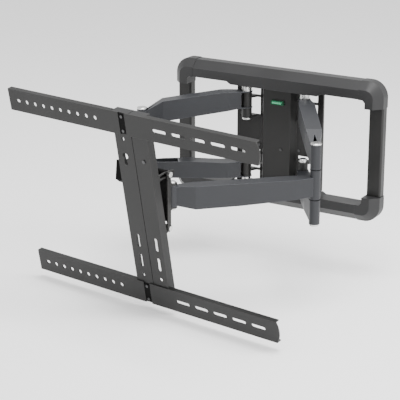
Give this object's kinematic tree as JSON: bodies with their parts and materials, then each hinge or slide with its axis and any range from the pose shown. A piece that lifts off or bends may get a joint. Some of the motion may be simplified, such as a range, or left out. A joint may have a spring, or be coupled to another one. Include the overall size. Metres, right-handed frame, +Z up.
{
  "type": "full motion tv wall mount",
  "caption": "Wall frame with two folding arms that meet at a tilting screen bracket with pierced half rails; it holds a flat screen off a wall.",
  "frame": {"origin": "on the wall plane, at the centre of the four wall bolt holes", "axes": "X along the wall, -Y away from the wall towards the screen, Z up"},
  "size_m": [0.6861, 0.5763, 0.4461],
  "materials": {
    "cover_coat": "satin anthracite powder coat",
    "frame_coat": "satin anthracite powder coat",
    "arm_coat": "satin anthracite powder coat, bluish",
    "bracket_coat": "satin anthracite powder coat",
    "cap_plastic": "fine textured plastic",
    "black_plastic": "matt black plastic",
    "bright_steel": "bright zinc",
    "dark_steel": "blackened steel",
    "green_plastic": "gloss green",
    "vial": "clear green liquid",
    "bubble": "clear bubble"
  },
  "bodies": {
    "wall_frame": {"top_rail_cover": "cover_coat", "bottom_rail_cover": "cover_coat", "top_left_corner_cap": "cap_plastic", "top_right_corner_cap": "cap_plastic", "bottom_left_corner_cap": "cap_plastic", "bottom_right_corner_cap": "cap_plastic", "left_side_rail": "frame_coat", "right_side_rail": "frame_coat", "top_wall_strip": "frame_coat", "bottom_wall_strip": "frame_coat", "centre_plate": "frame_coat", "left_upper_hinge_bracket": "frame_coat", "left_lower_hinge_bracket": "frame_coat", "right_upper_hinge_bracket": "frame_coat", "right_lower_hinge_bracket": "frame_coat", "upper_hinge_bolts": "bright_steel", "lower_hinge_bolts": "bright_steel", "level_frame": "green_plastic", "level_vial": "vial", "level_bubble": "bubble", "centre_plate_screws": "dark_steel"},
    "right_inner": {"right_inner_upper_bar": "arm_coat", "right_inner_lower_bar": "arm_coat", "right_elbow_bolt": "bright_steel", "right_elbow_rings": "black_plastic"},
    "right_outer": {"right_outer_arm": "arm_coat"},
    "head": {"head_bracket": "frame_coat", "right_head_bolt": "bright_steel", "left_head_bolt": "bright_steel", "tilt_pivot_bolts": "bright_steel", "clamp_rod": "bright_steel", "clamp_spacer": "black_plastic", "clamp_lever": "black_plastic"},
    "left_inner": {"left_inner_upper_bar": "arm_coat", "left_inner_lower_bar": "arm_coat", "left_elbow_bolt": "bright_steel", "left_elbow_rings": "black_plastic"},
    "left_outer": {"left_outer_arm": "arm_coat"},
    "screen_bracket": {"left_channel": "bracket_coat", "right_channel": "bracket_coat", "left_tilt_plate": "bracket_coat", "right_tilt_plate": "bracket_coat", "upper_left_rail": "bracket_coat", "upper_right_rail": "bracket_coat", "lower_left_rail": "bracket_coat", "lower_right_rail": "bracket_coat", "rail_joint_blocks": "black_plastic", "rail_joint_screws": "dark_steel", "channel_end_caps": "cap_plastic", "channel_rivet": "dark_steel"}
  },
  "joints": [
    {"name": "arms_fold", "type": "hinge", "parent": "wall_frame", "child": "right_inner", "pos_m": [0.0743, -0.028, 0], "axis": [0, 0, 1], "range_deg": [-12, 30]},
    {"name": "right_elbow", "type": "hinge", "parent": "right_inner", "child": "right_outer", "pos_m": [0.20733, -0.23254, 0], "axis": [0, 0, 1], "range_deg": [-45.1, 18.1]},
    {"name": "right_head_pivot", "type": "hinge", "parent": "right_outer", "child": "head", "pos_m": [-0.02658, -0.43521, 0], "axis": [0, 0, 1], "range_deg": [-11.1, 4.5]},
    {"name": "left_shoulder", "type": "hinge", "parent": "wall_frame", "child": "left_inner", "pos_m": [-0.0743, -0.028, 0], "axis": [0, 0, 1], "range_deg": [-23.7, 9.6]},
    {"name": "left_elbow", "type": "hinge", "parent": "left_inner", "child": "left_outer", "pos_m": [-0.27305, -0.16954, 0], "axis": [0, 0, 1], "range_deg": [-19.9, 49.5]},
    {"name": "screen_tilt", "type": "hinge", "parent": "head", "child": "screen_bracket", "pos_m": [-0.0649, -0.44781, -0.097], "axis": [0.9895, -0.1444, 0], "range_deg": [-10.6, 4.4]}
  ],
  "couplings": [
    {"joint": "right_elbow", "follows": "arms_fold", "ratio": -1.5},
    {"joint": "right_head_pivot", "follows": "arms_fold", "ratio": -0.365},
    {"joint": "left_shoulder", "follows": "arms_fold", "ratio": -0.784},
    {"joint": "left_elbow", "follows": "arms_fold", "ratio": 1.643}
  ]
}
